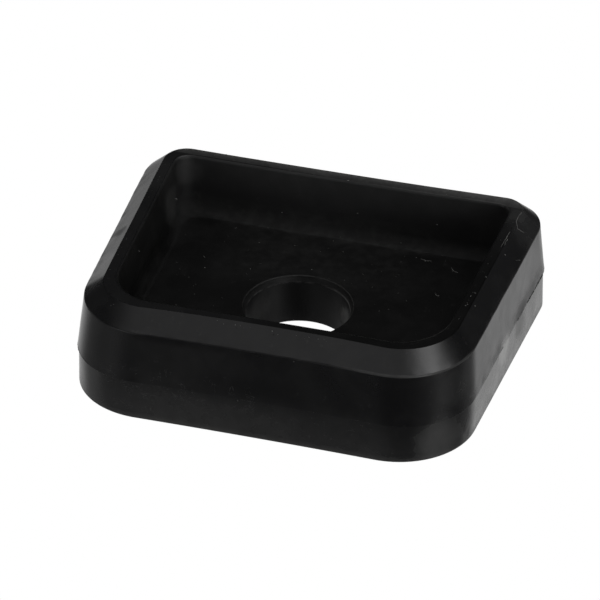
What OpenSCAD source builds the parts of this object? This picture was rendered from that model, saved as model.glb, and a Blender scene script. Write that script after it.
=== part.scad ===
// Rubber foot: one moulded piece, a rounded tray with a screw hole through its floor.
// The flat face lies on z = 0, the open side faces up and the middle of the plan is the origin.
// The two front corners, at -Y, are rounder than the two back ones.

/* [Body] */
// Length of the body along X, at the parting line
foot_length = 40; // [36:0.5:60]
// Width of the body along Y, at the parting line
foot_width = 33; // [30:0.5:50]
// Height from the flat face up to the rim
foot_height = 11.2; // [10:0.1:16]
// Outside corner radius of the two front corners, at the parting line
front_corner_r = 7.6; // [6:0.1:10]
// Outside corner radius of the two back corners, at the parting line
back_corner_r = 4.1; // [3.8:0.1:8]

/* [Outer wall] */
// Height of the mould's parting line above the flat face
parting_z = 4.15; // [2:0.05:6]
// How far the upper band stands out past the lower band along the parting line
parting_step = 0.12; // [0.05:0.01:0.2]
// How far the lower band draws in from its top down to the flat face
lower_draft = 0.04; // [0.02:0.01:0.4]
// How far the upper band draws in from the parting line up to the chamfer
upper_draft = 0.4; // [0.05:0.01:0.6]
// Radius of the edge between the lower band and the flat face
sole_edge_r = 0.15; // [0.05:0.05:0.4]

/* [Rim] */
// Width of the sloping chamfer round the rim, seen from above
chamfer_width = 1.9; // [1:0.05:2.2]
// Height that the chamfer takes up
chamfer_height = 1.65; // [1:0.05:2.5]
// Width of the flat land on top of the rim
land_width = 1.1; // [0.6:0.05:1.4]
// Radius of the edge between the outer wall and the chamfer
brow_edge_r = 0.25; // [0.1:0.05:0.5]
// Radius of the edge between the chamfer and the land
rim_edge_r = 0.2; // [0.1:0.05:0.4]

/* [Recess] */
// Thickness of the floor under the recess
floor_thickness = 5; // [3:0.1:7]
// How far the recess walls draw in from the bevel at their top down to the floor
recess_draft = 0.2; // [0.05:0.05:0.4]
// Corner radius of the recess at its two back corners, at the rim
recess_back_r = 1.9; // [1.8:0.1:4]
// Radius of the fillet between the recess walls and the floor
recess_fillet_r = 1.2; // [0.4:0.1:1.3]
// Size of the small bevel between the recess walls and the land
mouth_bevel = 0.12; // [0.05:0.01:0.3]

/* [Screw hole] */
// Radius of the hole through the floor
hole_r = 5; // [2:0.1:7]
// Width of the sloping edge round the hole's upper mouth
hole_edge_width = 0.42; // [0.1:0.02:0.8]
// Depth of the sloping edge round the hole's upper mouth
hole_edge_depth = 0.6; // [0.2:0.05:1.5]
// How far the hole sits off the middle along X
hole_offset_x = -0.8; // [-2:0.1:2]
// How far the hole sits off the middle along Y
hole_offset_y = -0.3; // [-2:0.1:2]

/* [Hidden] */
$fn = 96;

// How far a cutter runs past the face that it cuts
overrun = 1;
// How far past its corner a rounding cutter reaches, as a multiple of its size
offcut_reach = 1.5;
// How much an edge's arc is enlarged, so that it crosses the two faces cleanly
arc_ease = 1.001;

// Three sides of the plan, as directions seen from above
back_side = 90;
left_side = 180;
front_side = 270;

half_length = foot_length / 2;
half_width = foot_width / 2;
chamfer_z = foot_height - chamfer_height;
chamfer_inset = upper_draft + chamfer_width;
recess_inset = chamfer_inset + land_width;
recess_front_r = front_corner_r - recess_inset;
hole_edge_z = floor_thickness - hole_edge_depth;
hole_mouth_r = hole_r + hole_edge_width;

// Rounds one corner of a 2D shape: takes off what lies outside an arc of radius r.
// The corner is at point v, and a and b are points on the two edges that meet there.
module corner_offcut(a, v, b, r) {
    to_a = (a - v) / norm(a - v);
    to_b = (b - v) / norm(b - v);
    half_angle = acos(to_a * to_b) / 2;
    run = r / tan(half_angle);
    arc_middle = v + (to_a + to_b) / norm(to_a + to_b) * r / sin(half_angle);
    kite = [arc_middle, v + run * to_a, v, v + run * to_b];
    translate(arc_middle)
        difference() {
            polygon([for (point = kite) offcut_reach * (point - arc_middle)]);
            circle(r = arc_ease * r);
        }
}

// Shifts a section out to $corner_r and keeps only what lies from the plan corner's centre outwards.
module outwards_of_centre() {
    intersection() {
        translate([$corner_r, 0])
            children();
        translate([0, -overrun])
            square([$corner_r + 2 * overrun, foot_height + 3 * overrun]);
    }
}

// Section of the outer wall: lower band, step, upper band, chamfer and part of the land.
// It is drawn with the parting line's edge at 0, and what lies inside the body at minus.
module wall_section() {
    deep_inside = -$corner_r - overrun;
    sole = [-parting_step - lower_draft, 0];
    band_top = [-parting_step, parting_z];
    step = [0, parting_z];
    brow = [-upper_draft, chamfer_z];
    rim = [-chamfer_inset, foot_height];
    inner_foot = [deep_inside, 0];
    inner_top = [deep_inside, foot_height];
    outwards_of_centre()
        difference() {
            polygon([inner_foot, sole, band_top, step, brow, rim, inner_top]);
            corner_offcut(inner_foot, sole, band_top, sole_edge_r);
            corner_offcut(step, brow, rim, brow_edge_r);
            corner_offcut(brow, rim, inner_top, rim_edge_r);
        }
}

// Section of the recess: floor, fillet, drafted wall and the small bevel at its mouth.
// It is drawn with the land's inner edge at 0, and what lies inside the recess at minus.
module recess_section() {
    deep_inside = -$corner_r - overrun;
    wall_top = [-mouth_bevel, foot_height - mouth_bevel];
    wall_foot = [-mouth_bevel - recess_draft, floor_thickness];
    bevel_top = [overrun, foot_height + overrun];
    inner_foot = [deep_inside, floor_thickness];
    inner_top = [deep_inside, foot_height + overrun];
    outwards_of_centre()
        difference() {
            polygon([inner_foot, wall_foot, wall_top, bevel_top, inner_top]);
            corner_offcut(inner_foot, wall_foot, wall_top, recess_fillet_r);
        }
}

// Turns a section through the quarter circle that starts at one side and ends at the next.
module corner_post(x, y, first_side, $corner_r) {
    translate([x, y, 0])
        rotate([0, 0, first_side])
            rotate_extrude(angle = 90)
                children();
}

// Runs a section straight along one side, with its first axis pointing out of that side.
// The run starts at the given point and goes on clockwise round the plan.
module side_run(x, y, side, run_length, $corner_r) {
    translate([x, y, 0])
        rotate([0, 0, side])
            rotate([90, 0, 0])
                linear_extrude(height = run_length)
                    children();
}

// Draws the left half's pieces and their mirror images.
module both_ends() {
    children();
    mirror([1, 0, 0])
        children();
}

// Carries a section round the whole plan, and fills the middle between two heights.
module round_the_plan(half_x, half_y, front_r, back_r, low_z, high_z) {
    front_x = half_x - front_r;
    front_y = front_r - half_y;
    back_x = half_x - back_r;
    side_length = 2 * half_y - front_r - back_r;
    back_y = front_y + side_length;

    both_ends() {
        corner_post(-front_x, front_y, left_side, front_r) children();
        corner_post(-back_x, back_y, back_side, back_r) children();
        side_run(-front_x, front_y, left_side, side_length, front_r) children();
    }

    side_run(front_x, front_y, front_side, 2 * front_x, front_r) children();
    side_run(-back_x, back_y, back_side, 2 * back_x, back_r) children();

    translate([-front_x, front_y, low_z])
        cube([2 * front_x, side_length, high_z - low_z]);
}

module body() {
    round_the_plan(half_length, half_width, front_corner_r, back_corner_r, 0, foot_height)
        wall_section();
}

module recess() {
    round_the_plan(
        half_length - recess_inset,
        half_width - recess_inset,
        recess_front_r,
        recess_back_r,
        floor_thickness,
        foot_height + overrun
    )
        recess_section();
}

module screw_hole() {
    translate([hole_offset_x, hole_offset_y, 0]) {
        translate([0, 0, -overrun])
            cylinder(h = floor_thickness + 2 * overrun, r = hole_r);
        rotate_extrude()
            polygon([
                [0, hole_edge_z],
                [hole_r, hole_edge_z],
                [hole_mouth_r, floor_thickness],
                [hole_mouth_r, floor_thickness + overrun],
                [0, floor_thickness + overrun]
            ]);
    }
}

module foot() {
    color("#1b1c1f")
        difference() {
            body();
            recess();
            screw_hole();
        }
}

foot();
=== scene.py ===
"""Rubber foot: a moulded tray with a screw hole through its floor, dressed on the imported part.

The body is one closed skin of quads. Its wall is a section carried round the plan, and the floor and the
underside blend from the plan's outline to the round hole. All sizes in the classes are in millimetres.
"""
import logging
import math
from dataclasses import dataclass, fields, replace
from enum import Enum
from typing import Any, Sequence

import bpy
import numpy as np
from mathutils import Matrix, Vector, noise


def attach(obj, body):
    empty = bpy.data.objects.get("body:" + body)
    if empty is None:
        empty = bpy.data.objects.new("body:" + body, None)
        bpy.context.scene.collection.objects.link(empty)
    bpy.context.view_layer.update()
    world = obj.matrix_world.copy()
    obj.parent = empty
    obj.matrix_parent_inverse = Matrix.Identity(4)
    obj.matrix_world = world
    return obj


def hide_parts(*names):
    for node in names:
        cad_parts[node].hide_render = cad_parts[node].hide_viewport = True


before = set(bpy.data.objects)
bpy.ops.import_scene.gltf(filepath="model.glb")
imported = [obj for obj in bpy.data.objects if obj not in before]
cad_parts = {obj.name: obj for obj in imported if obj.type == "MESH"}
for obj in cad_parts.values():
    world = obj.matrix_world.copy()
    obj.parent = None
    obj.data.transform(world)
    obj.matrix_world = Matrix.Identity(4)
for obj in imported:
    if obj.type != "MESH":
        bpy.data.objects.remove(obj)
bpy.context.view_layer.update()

MM = 0.001
BODY = "root"
LOG = logging.getLogger("rubber_foot")
Point = tuple[float, float, float]
Spot = tuple[float, float, float, float]
# Past everything, for a limit that doesn't matter.
FAR_OFF = 99.0
# The way that a shifted noise pattern goes.
SHIFT_WAY = (1.0, 0.7, 1.3)
# Core of a soft spot, and size of what makes its edge ragged, as shares of its radius.
SPOT_CORE = 0.35
SPOT_EDGE = 0.5


# --- Small helpers ---


def linear(hex_colour: str) -> tuple[float, float, float, float]:
    """Turns an sRGB hex colour into linear light.

    Args:
        hex_colour: A # and six hex digits.

    Returns:
        Red, green, blue and full opacity, as a shader's colour socket takes them.
    """
    channels = [int(hex_colour[i:i + 2], 16) / 255 for i in (1, 3, 5)]
    light = [c / 12.92 if c <= 0.04045 else ((c + 0.055) / 1.055) ** 2.4 for c in channels]
    return (*light, 1.0)


def add_node(tree: bpy.types.NodeTree, kind: str, settings: dict[str, Any] | None = None,
             **inputs: Any) -> bpy.types.Node:
    """Adds one node with its settings and its inputs.

    Args:
        tree: The shader or geometry tree.
        kind: The node's type name.
        settings: Attributes of the node itself.
        **inputs: Socket name (spaces as underscores, or i0, i1, ... by index) to a value or an output socket.

    Returns:
        The new node.
    """
    node = tree.nodes.new(kind)
    for name, value in (settings or {}).items():
        setattr(node, name, value)
    for name, value in inputs.items():
        indexed = name[0] == "i" and name[1:].isdigit()
        socket = node.inputs[int(name[1:])] if indexed else node.inputs[name.replace("_", " ")]
        if isinstance(value, bpy.types.NodeSocket):
            tree.links.new(value, socket)
        else:
            socket.default_value = value
    return node


def placed(name: str, data: bpy.types.ID) -> bpy.types.Object:
    """Puts a mesh or a camera into the scene.

    Args:
        name: The name of its object.
        data: The mesh or the camera.

    Returns:
        The new object.
    """
    thing = bpy.data.objects.new(name, data)
    bpy.context.scene.collection.objects.link(thing)
    return thing


# --- Section and plan ---


class Corner(Enum):
    """A corner of the plan: signs of x and y, and the angle at which its quarter turn starts."""

    BACK_RIGHT = (1, 1, 0)
    BACK_LEFT = (-1, 1, 90)
    FRONT_LEFT = (-1, -1, 180)
    FRONT_RIGHT = (1, -1, 270)


@dataclass(frozen=True)
class Station:
    """One point of the wall's section, with the plan outline that it is carried round.

    The sinks say how far the front and the back wall bow in, and the set-back how far the outline sits back.
    """

    half_x: float
    half_y: float
    z: float
    front_right_r: float
    front_left_r: float
    back_right_r: float
    back_left_r: float
    sink_front: float
    sink_back: float
    set_back: float = 0.0

    def values(self) -> np.ndarray:
        """Gives all fields as one array."""
        return np.array([getattr(self, f.name) for f in fields(self)])

    def radius(self, corner: Corner) -> float:
        """Gives the plan radius at one corner."""
        return float(getattr(self, f"{corner.name.lower()}_r"))

    def further(self, inset: float) -> "Station":
        """Gives a station further in, with the same corner radii."""
        return replace(self, half_x=self.half_x - inset, half_y=self.half_y - inset)


def mixed(stations: Sequence[Station], weights: Sequence[float]) -> Station:
    """Blends stations field by field, by weights with any sum but 0."""
    total = sum(weights)
    return Station(*sum(s.values() * (w / total) for s, w in zip(stations, weights)))


@dataclass(frozen=True)
class Knot:
    """A corner of the section: where it is, how round its edge is, and how many rows lead on to the next."""

    station: Station
    edge_r: float = 0.0
    rows_after: int = 0


@dataclass(frozen=True)
class SectionRounder:
    """Turns knots into stations, with an arc at each rounded knot and a holding row beside it."""

    arc_rows: int = 6
    hold: float = 0.06
    most_hold: float = 0.2

    def arc(self, before: Station, knot: Knot, after: Station) -> list[Station]:
        """Rounds one knot.

        Args:
            before: Where the section comes from.
            knot: The knot.
            after: Where the section goes.

        Returns:
            The stations of the arc, in order.
        """
        here = knot.station
        legs = [np.array([s.half_x, s.z]) - np.array([here.half_x, here.z]) for s in (before, after)]
        lengths = [float(np.linalg.norm(leg)) for leg in legs]
        cosine = float(legs[0] @ legs[1]) / (lengths[0] * lengths[1])
        half = math.acos(max(-1.0, min(1.0, cosine))) / 2
        run = knot.edge_r / math.tan(half)
        enter, leave = (mixed([here, other], [1 - run / length, run / length])
                        for other, length in zip((before, after), lengths))
        shares = [k / self.arc_rows for k in range(self.arc_rows + 1)]
        return [mixed([enter, here, leave], [(1 - s) ** 2, 2 * s * (1 - s) * math.sin(half), s * s])
                for s in shares]

    def straight(self, start: Station, end: Station, count: int, hold_start: bool,
                 hold_end: bool) -> list[Station]:
        """Fills the run between two stations, both ends left out.

        Args:
            start: The station before the run.
            end: The station after the run.
            count: How many rows lie inside the run, holding rows apart.
            hold_start: Whether a holding row follows the start.
            hold_end: Whether a holding row comes before the end.

        Returns:
            The stations inside the run.
        """
        length = math.hypot(end.half_x - start.half_x, end.z - start.z) or 1.0
        lead = min(self.hold / length, self.most_hold)
        shares = [(k + 1) / (count + 1) for k in range(count)]
        shares = [s for s in shares if (s > lead or not hold_start) and (s < 1 - lead or not hold_end)]
        shares = ([lead] if hold_start else []) + shares + ([1 - lead] if hold_end else [])
        return [mixed([start, end], [1 - s, s]) for s in shares]

    def stations(self, knots: Sequence[Knot]) -> list[Station]:
        """Lays out every station of the section in order.

        Args:
            knots: The section's corners, from one end to the other. The last one isn't rounded.

        Returns:
            The stations, one for each row of the mesh.
        """
        rows = [knots[0].station]
        for i in range(1, len(knots)):
            before, knot = knots[i - 1], knots[i]
            rounded = knot.edge_r > 0
            turn = self.arc(before.station, knot, knots[i + 1].station) if rounded else [knot.station]
            rows += self.straight(rows[-1], turn[0], before.rows_after, before.edge_r > 0, rounded)
            rows += turn
        return rows


@dataclass(frozen=True)
class Plan:
    """Carries a station round the plan as one ring of points.

    Rubber leaves its mould hot and shrinks unevenly, so such a foot is never quite square. The skews shift
    the front left, front right, back left and back right corner, at the flat face and at the rim.
    """

    corner_steps: int = 26
    long_steps: int = 80
    short_steps: int = 60
    half_length: float = 20.0
    half_width: float = 16.9
    height: float = 11.2
    low_skew: tuple[tuple[float, float], ...] = ((-0.19, 0.29), (-0.17, -0.41), (0.15, -0.1), (-0.01, 0.11))
    high_skew: tuple[tuple[float, float], ...] = ((0.26, 0.1), (-0.02, 0.01), (-0.18, -0.34), (0.18, 0.35))

    def ring(self, station: Station) -> np.ndarray:
        """Lays the ring of one station, anticlockwise from the right side's back end.

        Args:
            station: The section's point to carry round.

        Returns:
            Array of points, in millimetres.
        """
        arcs = []
        for corner in Corner:
            sign_x, sign_y, first = corner.value
            r = station.radius(corner)
            middle = np.array([sign_x * (station.half_x - r),
                               sign_y * (station.half_y - r) + station.set_back])
            turn = np.radians(first + 90 * np.arange(self.corner_steps + 1) / self.corner_steps)
            arcs.append(middle + r * np.stack([np.cos(turn), np.sin(turn)], axis=1))
        points: list[np.ndarray] = []
        for i, steps in enumerate((self.long_steps, self.short_steps) * 2):
            start, end = arcs[i][-1], arcs[(i + 1) % len(arcs)][0]
            points += [arcs[i][:-1], start + (end - start) * (np.arange(steps)[:, None] / steps)]
        flat = np.concatenate(points)
        return self.shrunk(np.column_stack([flat, np.full(len(flat), station.z)]), station)

    def shrunk(self, points: np.ndarray, station: Station) -> np.ndarray:
        """Bows the two long walls in, most at mid-length, and skews the ring.

        Args:
            points: The ring's points.
            station: The station that says how far.

        Returns:
            The moved points.
        """
        x, y = points[:, 0], points[:, 1]
        bow = 1 - (x / self.half_length) ** 2
        to_back = np.clip((self.half_width + y) / (2 * self.half_width), 0, 1)
        points[:, 1] = y + bow * (station.sink_front * (1 - to_back) - station.sink_back * to_back)
        across = np.clip(x / self.half_length, -1, 1)
        along = np.clip(points[:, 1] / self.half_width, -1, 1)
        rise = min(1.0, max(0.0, station.z / self.height))
        weights = np.stack([(1 + i * across) * (1 + j * along) for j in (-1, 1) for i in (-1, 1)]) / 4
        low, high = (weights.T @ np.array(skew) for skew in (self.low_skew, self.high_skew))
        points[:, :2] += low * (1 - rise) + high * rise
        return points


# --- The body ---


@dataclass(frozen=True)
class Ripple:
    """Unevenness of the skin: how it strays from the drawn form, over the whole body or along one level.

    Over the whole body it dies out below the calm height, so that the flat face stays flat.
    """

    size: float
    depth: float
    level: float | None = None
    spread: float = 0.4
    seed: float = 0.0
    seed_slope: float = 1.7
    calm_height: float = 1.5

    def shift(self, point: np.ndarray) -> np.ndarray:
        """Gives how far one point strays.

        Args:
            point: The point, in millimetres.

        Returns:
            The shift: sideways over the whole body, up or down along one level.
        """
        where = Vector(point) / self.size + Vector((self.seed, self.seed * self.seed_slope, 0))
        if self.level is None:
            fade = min(1.0, point[2] / self.calm_height)
            return np.array(noise.noise_vector(where)) * (self.depth, self.depth, 0.0) * fade
        fade = math.exp(-(((point[2] - self.level) / self.spread) ** 2))
        return np.array((0.0, 0.0, noise.noise(where) * self.depth * fade))


@dataclass
class RubberBody:
    """The moulded tray: outer wall in two bands, chamfered rim, recess and screw hole."""

    sole: Knot = Knot(Station(19.845, 16.615, 0.0, 7.82, 7.43, 3.6, 4.6, 0.315, 0.2), 0.15, 12)
    band_top: Knot = Knot(Station(19.9, 16.67, 4.11, 7.65, 7.2, 4.0, 4.7, 0.56, 0.26), 0.012, 0)
    lip: Knot = Knot(Station(20.0, 16.77, 4.17, 7.71, 7.22, 4.1, 4.81, 0.56, 0.26), 0.012, 16)
    brow: Knot = Knot(Station(19.688, 16.458, 9.56, 7.84, 7.62, 4.44, 4.72, 0.803, 0.35), 0.22, 7)
    rim: Knot = Knot(Station(17.809, 14.39, 11.2, 6.2, 5.0, 2.12, 2.34, 1.1, 0.389, 0.18), 0.16, 4)
    mouth: Knot = Knot(Station(16.66, 12.873, 11.2, 5.2, 4.6, 1.3, 1.6, 0.25, 0.389, 0.503), 0.3, 14)
    recess_foot: Knot = Knot(Station(16.41, 12.623, 5.05, 5.0, 4.4, 1.3, 1.6, 0.25, 0.33, 0.503), 1.2, 1)
    sole_margin: float = 1.0
    floor_margin: float = 2.0
    hole_x: float = -0.764
    hole_y: float = -0.302
    hole_mouth_r: float = 5.37
    hole_r: float = 5.05
    hole_foot_r: float = 4.95
    hole_edge_depth: float = 0.6
    hole_rounding: float = 0.1
    hole_edge_rows: int = 6
    # Where rows lie, as shares of the way: hole to sole, recess wall to hole, and down the hole.
    sole_rows: tuple[float, ...] = (0.04, 0.12, 0.25, 0.4, 0.6, 0.8)
    floor_rows: tuple[float, ...] = (0.08, 0.17, 0.26, 0.35, 0.44, 0.53, 0.62, 0.7, 0.78, 0.85, 0.91, 0.96)
    bore_rows: tuple[float, ...] = (0.03, 0.1, 0.2, 0.3, 0.4, 0.5, 0.6, 0.7, 0.8, 0.9, 0.97, 1.0)
    plan: Plan = Plan()
    rounder: SectionRounder = SectionRounder()
    ripples: tuple[Ripple, ...] = (
        Ripple(size=7.0, depth=0.035),
        Ripple(size=1.3, depth=0.07, level=4.14, spread=0.35, seed=5.0),
        Ripple(size=0.9, depth=0.05, level=9.56, spread=0.3, seed=9.0),
    )
    # Noise vectors go by the clock until they are given a seed.
    noise_seed: int = 1

    def wall_knots(self) -> list[Knot]:
        """Gives the section from the underside's edge, over the rim, to the recess floor.

        Returns:
            The knots in order.
        """
        start = Knot(self.sole.station.further(self.sole_margin), rows_after=1)
        end = Knot(self.recess_foot.station.further(self.floor_margin))
        return [start, self.sole, self.band_top, self.lip, self.brow, self.rim, self.mouth,
                self.recess_foot, end]

    def circle(self, radius: float, z: float, like: np.ndarray) -> np.ndarray:
        """Lays a ring of the hole, each point in the direction of its partner on another ring.

        Args:
            radius: The circle's radius.
            z: Its height.
            like: The ring whose directions it follows.

        Returns:
            Array of points.
        """
        turn = np.arctan2(like[:, 1] - self.hole_y, like[:, 0] - self.hole_x)
        x, y = self.hole_x + radius * np.cos(turn), self.hole_y + radius * np.sin(turn)
        return np.column_stack([x, y, np.full(len(like), z)])

    def hole_profile(self) -> list[tuple[float, float]]:
        """Gives the section of the hole, from its mouth to the flat face, with its two upper edges rounded.

        Returns:
            Radius and height of each row.
        """
        floor_z = self.recess_foot.station.z
        corners = np.array([(self.hole_mouth_r + 1, floor_z), (self.hole_mouth_r, floor_z),
                            (self.hole_r, floor_z - self.hole_edge_depth), (self.hole_foot_r, 0.0)])
        out: list[tuple[float, float]] = []
        for before, here, after in zip(corners, corners[1:], corners[2:]):
            enter, leave = (here + (other - here) / np.linalg.norm(other - here) * self.hole_rounding
                            for other in (before, after))
            for s in np.linspace(0, 1, self.hole_edge_rows):
                point = enter * (1 - s) ** 2 + here * 2 * s * (1 - s) + leave * s * s
                out.append((float(point[0]), float(point[1])))
        top_r, top = out[-1]
        return out + [(top_r + (self.hole_foot_r - top_r) * s, top * (1 - s)) for s in self.bore_rows]

    def rings(self) -> list[np.ndarray]:
        """Lays every ring of the closed skin in order, from the underside round to the hole's foot.

        Returns:
            The rings, all with the same number of points.
        """
        walls = [self.plan.ring(s) for s in self.rounder.stations(self.wall_knots())]
        sole, floor_edge = walls[0], walls[-1]
        bore = [self.circle(r, z, floor_edge) for r, z in self.hole_profile()]
        hole_foot = self.circle(self.hole_foot_r, 0.0, floor_edge)
        underside = [hole_foot * (1 - s) + sole * s for s in self.sole_rows]
        floor = [floor_edge * (1 - s) + bore[0] * s for s in self.floor_rows]
        return underside + walls + floor + bore

    def parting_line(self) -> np.ndarray:
        """Gives the ring of points along the parting line's lip."""
        return self.plan.ring(self.lip.station)

    def build(self, finish: "Finish") -> bpy.types.Object:
        """Makes the skin as one closed mesh.

        Args:
            finish: The finish that dresses it.

        Returns:
            The body's object.
        """
        noise.seed_set(self.noise_seed)
        rings = self.rings()
        count, around = len(rings), len(rings[0])
        points = np.concatenate(rings)
        points = points + sum(np.array([ripple.shift(p) for p in points]) for ripple in self.ripples)
        faces = []
        for i in range(count):
            here, there = i * around, ((i + 1) % count) * around
            for k in range(around):
                n = (k + 1) % around
                faces.append((here + k, here + n, there + n, there + k))
        mesh = bpy.data.meshes.new("rubber_body")
        mesh.from_pydata([tuple(p) for p in points * MM], [], faces)
        mesh.polygons.foreach_set("use_smooth", [True] * len(mesh.polygons))
        mesh.update()
        mesh.materials.append(finish.material())
        return placed("rubber_body", mesh)


# --- Amounts and patterns that the finishes are made of ---


class Amount:
    """A number that varies over the skin, held as a socket of a shader tree. Arithmetic on it adds nodes."""

    def __init__(self, tree: bpy.types.NodeTree, socket: bpy.types.NodeSocket) -> None:
        """Holds the socket and the tree that it is in."""
        self.tree = tree
        self.socket = socket

    def joined(self, operation: str, *others: "Amount | float") -> "Amount":
        """Works one sum with the amount and up to two others.

        Args:
            operation: The sum, as a Math node names it.
            *others: The other amounts or plain numbers, in order.

        Returns:
            The result.
        """
        values = [other.socket if isinstance(other, Amount) else other for other in others]
        inputs = {f"i{i}": value for i, value in enumerate([self.socket, *values])}
        node = add_node(self.tree, "ShaderNodeMath", {"operation": operation}, **inputs)
        return Amount(self.tree, node.outputs[0])

    def __add__(self, other: "Amount | float") -> "Amount":
        """Adds another amount or a number."""
        return self.joined("ADD", other)

    def __sub__(self, other: "Amount | float") -> "Amount":
        """Takes another amount or a number away."""
        return self.joined("SUBTRACT", other)

    def __rsub__(self, other: float) -> "Amount":
        """Takes the amount away from a number."""
        return self.joined("MULTIPLY_ADD", -1.0, other)

    def __mul__(self, other: "Amount | float") -> "Amount":
        """Multiplies by another amount or a number."""
        return self.joined("MULTIPLY", other)

    def __abs__(self) -> "Amount":
        """Drops the sign."""
        return self.joined("ABSOLUTE")

    __radd__ = __add__

    def rise(self, start: float, end: float) -> "Amount":
        """Gives a soft step.

        Args:
            start: Where it is 0.
            end: Where it has reached 1, which may be lower than the start.

        Returns:
            The step, between 0 and 1.
        """
        low, high, first, last = (start, end, 0.0, 1.0) if start < end else (end, start, 1.0, 0.0)
        node = add_node(self.tree, "ShaderNodeMapRange", {"interpolation_type": "SMOOTHSTEP"},
                        Value=self.socket, From_Min=low, From_Max=high, To_Min=first, To_Max=last)
        return Amount(self.tree, node.outputs[0])


class Face(Enum):
    """A part of the body's skin."""

    OUTSIDE = "all but the recess"
    FRONT = "the front wall between its corners"
    SIDES = "outside, without the front wall"
    RECESS = "floor, walls and hole"
    MOUTH = "all that lies inside the recess's outline"
    HOLE = "what lies round the hole"


class Texture(Enum):
    """What breaks a film up."""

    PLAIN = "nothing"
    CLOUDY = "drifts a few millimetres across"
    SPECKLED = "specks"
    RAGGED = "gaps"
    DUSTED = "talc left in the low places"
    DRIFTED = "a thin veil of talc"


class Surface:
    """The skin as a shader tree sees it, with positions in millimetres, its faces and its textures."""

    def __init__(self, tree: bpy.types.NodeTree) -> None:
        """Sets up the positions in a material's node tree.

        Args:
            tree: The node tree.
        """
        self.tree = tree
        self.faces: dict[Face, Amount] = {}
        self.textures: dict[Texture, Amount] = {}
        place = add_node(tree, "ShaderNodeTexCoord").outputs["Object"]
        scaled = add_node(tree, "ShaderNodeVectorMath", {"operation": "SCALE"}, i0=place, Scale=1 / MM)
        self.place = scaled.outputs[0]
        axes = add_node(tree, "ShaderNodeSeparateXYZ", i0=self.place).outputs
        self.x, self.y, self.z = (Amount(tree, axis) for axis in axes)

    def spot(self, centre: Point, radius: float, warp: float = 0.0) -> Amount:
        """Gives a soft spot, 1 at its centre and 0 beyond its radius.

        Args:
            centre: Where it is, in millimetres.
            radius: How far it reaches.
            warp: How ragged its edge is, as a share of the radius.

        Returns:
            The spot's strength.
        """
        far = add_node(self.tree, "ShaderNodeVectorMath", {"operation": "DISTANCE"}, i0=self.place, i1=centre)
        reach = Amount(self.tree, far.outputs["Value"])
        if warp:
            reach = reach + (Cloud(radius * SPOT_EDGE, 3.0).laid_on(self) - 0.5) * (2 * warp * radius)
        return reach.rise(radius, radius * SPOT_CORE)


@dataclass(frozen=True)
class Cloud:
    """A noise pattern, as the size of its features in millimetres. With ends, it is cut to soft patches."""

    size: float
    detail: float = 2.0
    shift: float = 0.0
    distortion: float = 0.0
    ends: tuple[float, float] | None = None

    def laid_on(self, skin: Surface) -> Amount:
        """Gives the pattern on a skin.

        Args:
            skin: The skin.

        Returns:
            An amount around 0.5, or from 0 to 1 where the pattern has ends.
        """
        shifted = add_node(skin.tree, "ShaderNodeMapping", i0=skin.place,
                           Location=tuple(self.shift * way for way in SHIFT_WAY))
        tone = add_node(skin.tree, "ShaderNodeTexNoise", Vector=shifted.outputs[0], Scale=1 / self.size,
                        Detail=self.detail, Distortion=self.distortion)
        amount = Amount(skin.tree, tone.outputs[0])
        return amount.rise(*self.ends) if self.ends else amount


@dataclass(frozen=True)
class Extent:
    """Where something lies. Along an axis it fades in from the first number to the second, either way.

    With four numbers, it fades out again from the third to the fourth.
    """

    x: tuple[float, ...] = ()
    y: tuple[float, ...] = ()
    z: tuple[float, ...] = ()

    def share(self, skin: Surface) -> Amount | float:
        """Gives how much of the extent there is on a skin.

        Args:
            skin: The skin.

        Returns:
            1 inside the extent, and 0 outside it.
        """
        out: Amount | float = 1.0
        for axis, ends in ((skin.x, self.x), (skin.y, self.y), (skin.z, self.z)):
            if ends:
                out = axis.rise(ends[0], ends[1]) * out
            if len(ends) == 4:
                out = axis.rise(ends[3], ends[2]) * out
        return out


@dataclass(frozen=True)
class Zone:
    """A film on the skin, bloom in some zones and painted light in others, or a change of its roughness:
    where it lies and how strong it is.
    """

    face: Face
    strength: float
    extent: Extent = Extent()
    added: tuple[tuple[float, Extent], ...] = ()
    texture: Texture = Texture.PLAIN

    def laid_on(self, skin: Surface) -> Amount:
        """Gives the zone's strength on a skin.

        Args:
            skin: The skin.

        Returns:
            The strength, with what is added within further extents.
        """
        strength: Amount | float = self.strength
        for more, extent in self.added:
            strength = extent.share(skin) * more + strength
        out = skin.faces[self.face] * self.extent.share(skin) * strength
        return out if self.texture is Texture.PLAIN else out * skin.textures[self.texture]


@dataclass(frozen=True)
class Patch:
    """One spot where the skin differs: more pale film on it, as bloom in some spots and as painted light in
    others, talc, a rougher skin, or several of them.
    """

    centre: Point
    radius: float
    bloom_and_painted_light: float = 0.0
    roughness: float = 0.0
    talc: float = 0.0
    extent: Extent = Extent()

    def laid_on(self, skin: Surface, strength: float, warp: float) -> Amount:
        """Gives the patch on a skin, with the strength and the raggedness stated."""
        return skin.spot(self.centre, self.radius, warp) * self.extent.share(skin) * strength


# --- Finishes ---


@dataclass(frozen=True)
class Finish:
    """A finish that can be turned into a material."""

    name: str = "finish"

    def start(self) -> bpy.types.Material:
        """Makes the empty material.

        Returns:
            A material with only a shader in it.
        """
        mat = bpy.data.materials.new(self.name)
        mat.use_nodes = True
        return mat

    def material(self) -> bpy.types.Material:
        """Builds the material."""
        raise NotImplementedError


# Where painted highlights lie round the hole, and how the pale film on the lower band thickens towards the
# flat face, bloom with a painted glow at the very foot.
RIGHT_OF_HOLE = (0.236, 3.236)
HOLE_EDGE = Extent(z=(4.3, 4.43, 5.03, 5.048))
LOW_BAND_RISE = ((0.036, Extent(z=(4.0, 0.4))), (0.14, Extent(z=(0.8, 0.0))))


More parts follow.
